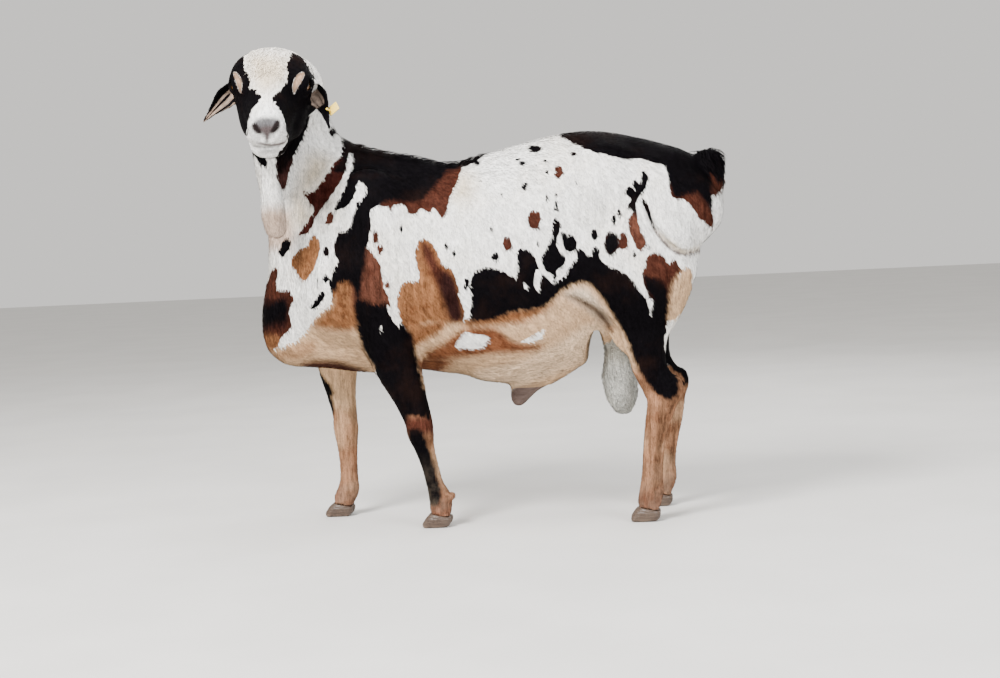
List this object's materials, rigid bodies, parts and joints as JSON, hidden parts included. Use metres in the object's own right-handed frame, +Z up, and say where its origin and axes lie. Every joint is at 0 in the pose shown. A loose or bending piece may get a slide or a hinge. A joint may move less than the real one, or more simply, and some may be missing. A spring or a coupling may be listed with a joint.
{
  "type": "fat-tailed hair sheep ram, life-size standing model",
  "caption": "Life-size model of a polled fat-tailed hair sheep ram, standing with its head turned, piebald coat, throat lobe and blank ear tag.",
  "frame": {"origin": "on the floor, under the middle of the bounding box", "axes": "+Z up; the ram faces -X with its left side towards -Y and its head turned to its left"},
  "size_m": [1.0703, 0.4795, 1.0101],
  "materials": {
    "white_coat": "short dense white hair with black and red-brown markings",
    "black_coat": "short glossy black hair",
    "tan_coat": "short tan hair",
    "black_hair": "longer curly black hair",
    "bare_skin": "thinly haired grey skin",
    "ear_skin": "thin haired skin, dark outside and pinkish grey inside",
    "hoof_horn": "dark worn horn",
    "eye_glass": "dark brown glossy eye with a level slit pupil",
    "tag_plastic": "plain yellow plastic, blank"
  },
  "bodies": {
    "root": {"torso": "white_coat", "neck": "white_coat", "head": "white_coat", "dewlap": "white_coat", "ear_left": "ear_skin", "ear_right": "ear_skin", "eye_left": "eye_glass", "eye_right": "eye_glass", "tail": "white_coat", "tail_tip": "black_hair", "scrotum": "bare_skin", "sheath": "bare_skin", "ear_tag": "tag_plastic", "foreleg_left_upper": "black_coat", "foreleg_left_lower": "tan_coat", "foreleg_left_hoof_outer": "hoof_horn", "foreleg_left_hoof_inner": "hoof_horn", "foreleg_right_upper": "black_coat", "foreleg_right_lower": "tan_coat", "foreleg_right_hoof_outer": "hoof_horn", "foreleg_right_hoof_inner": "hoof_horn", "hindleg_left_upper": "black_coat", "hindleg_left_lower": "tan_coat", "hindleg_left_hoof_outer": "hoof_horn", "hindleg_left_hoof_inner": "hoof_horn", "hindleg_right_upper": "black_coat", "hindleg_right_lower": "tan_coat", "hindleg_right_hoof_outer": "hoof_horn", "hindleg_right_hoof_inner": "hoof_horn"}
  },
  "joints": []
}
